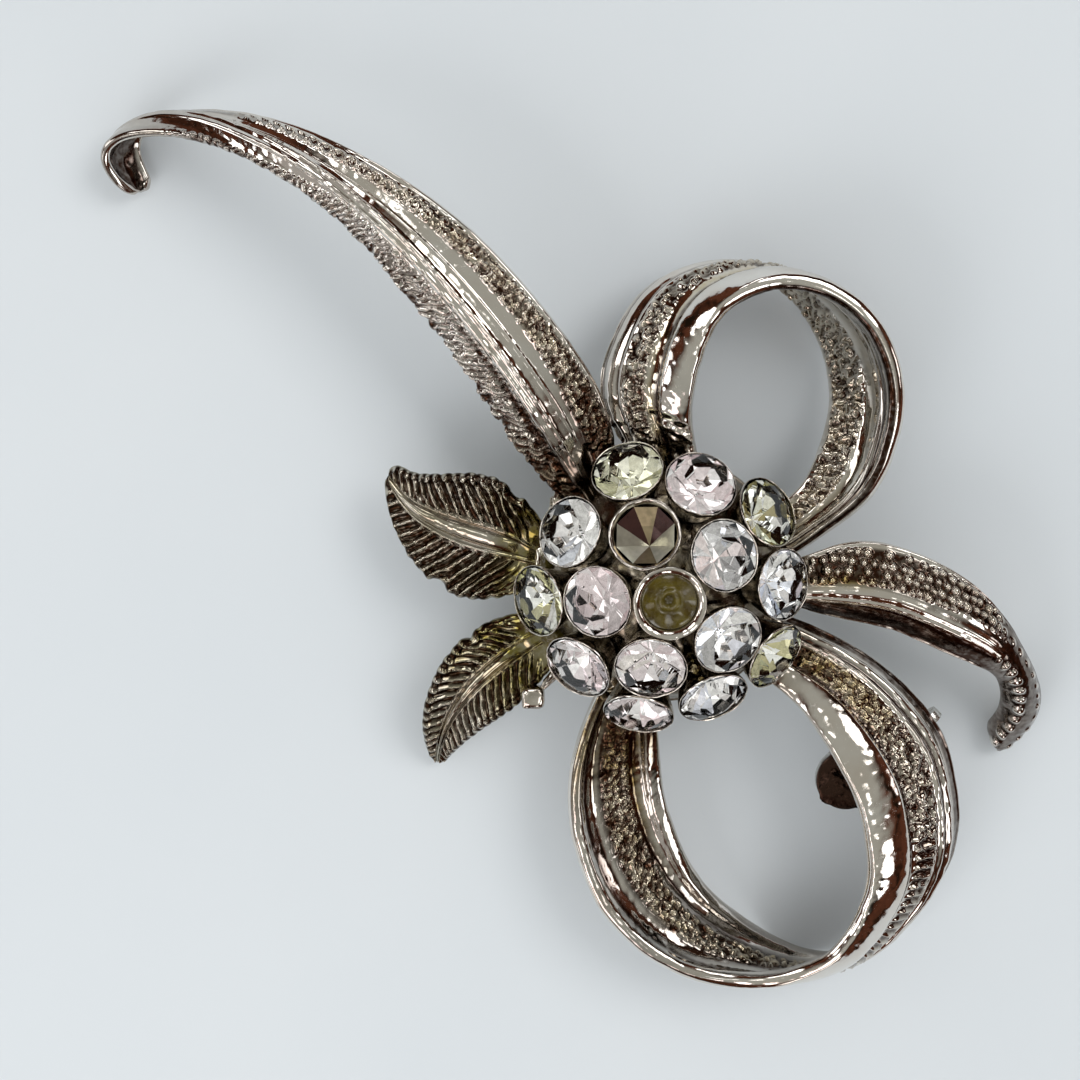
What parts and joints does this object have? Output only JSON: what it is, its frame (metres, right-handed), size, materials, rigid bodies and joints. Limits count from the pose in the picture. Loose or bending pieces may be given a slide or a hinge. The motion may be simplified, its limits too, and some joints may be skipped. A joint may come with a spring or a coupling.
{
  "type": "ribbon bow brooch",
  "caption": "Ribbon-bow spray brooch with two open loops, two leaves, a domed cluster of set stones and a pin back with a safety catch.",
  "frame": {"origin": "centre of the brooch's footprint on the table that it lies on, face up", "axes": "+Z out of the face, +X along the longest side, +Y towards the upper loop"},
  "size_m": [0.058, 0.0545, 0.0125],
  "materials": {
    "ribbon_metal": "aged bright plating over a cast, textured ribbon, gold tone in the hollows",
    "leaf_metal": "aged bright plating over cast leaf ribs, olive tone near the cluster",
    "setting_metal": "thin bright plated cups, darker between them",
    "stone_glass": "faceted clear glass with a silvered back",
    "foil_mirror": "eight-sided mirror foil with brown reflections",
    "old_glue": "yellow-green hardened glue",
    "pin_steel": "plated steel pin parts"
  },
  "bodies": {
    "brooch": {"long_tail": "ribbon_metal", "upper_loop": "ribbon_metal", "lower_loop": "ribbon_metal", "short_tail": "ribbon_metal", "upper_leaf": "leaf_metal", "lower_leaf": "leaf_metal", "hub_plate": "setting_metal", "dome_base": "setting_metal", "side_lug": "setting_metal", "filler_bead": "setting_metal", "cup_01": "setting_metal", "cup_02": "setting_metal", "cup_03": "setting_metal", "cup_04": "setting_metal", "cup_05": "setting_metal", "cup_06": "setting_metal", "cup_07": "setting_metal", "cup_08": "setting_metal", "cup_09": "setting_metal", "cup_10": "setting_metal", "cup_11": "setting_metal", "cup_12": "setting_metal", "cup_13": "setting_metal", "cup_14": "setting_metal", "cup_15": "setting_metal", "cup_16": "setting_metal", "stone_03": "stone_glass", "stone_04": "stone_glass", "stone_05": "stone_glass", "stone_06": "stone_glass", "stone_07": "stone_glass", "stone_08": "stone_glass", "stone_09": "stone_glass", "stone_10": "stone_glass", "stone_11": "stone_glass", "stone_12": "stone_glass", "stone_13": "stone_glass", "stone_14": "stone_glass", "stone_15": "stone_glass", "stone_16": "stone_glass", "foil_back": "foil_mirror", "glue_residue": "old_glue", "pin_bar": "pin_steel", "catch_ring": "pin_steel", "hinge_rivet": "pin_steel"},
    "pin": {"pin_stem": "pin_steel"},
    "lock": {"lock_barrel": "pin_steel"}
  },
  "joints": [
    {"name": "pin_hinge", "type": "hinge", "parent": "brooch", "child": "pin", "pos_m": [-0.00047, 0.00777, 0.00195], "axis": [0.7071, 0.7071, 0], "range_deg": [0, 110]},
    {"name": "lock_turn", "type": "hinge", "parent": "brooch", "child": "lock", "pos_m": [0.01876, -0.01146, 0.00195], "axis": [-0.7071, 0.7071, 0], "range_deg": [0, 120]}
  ]
}
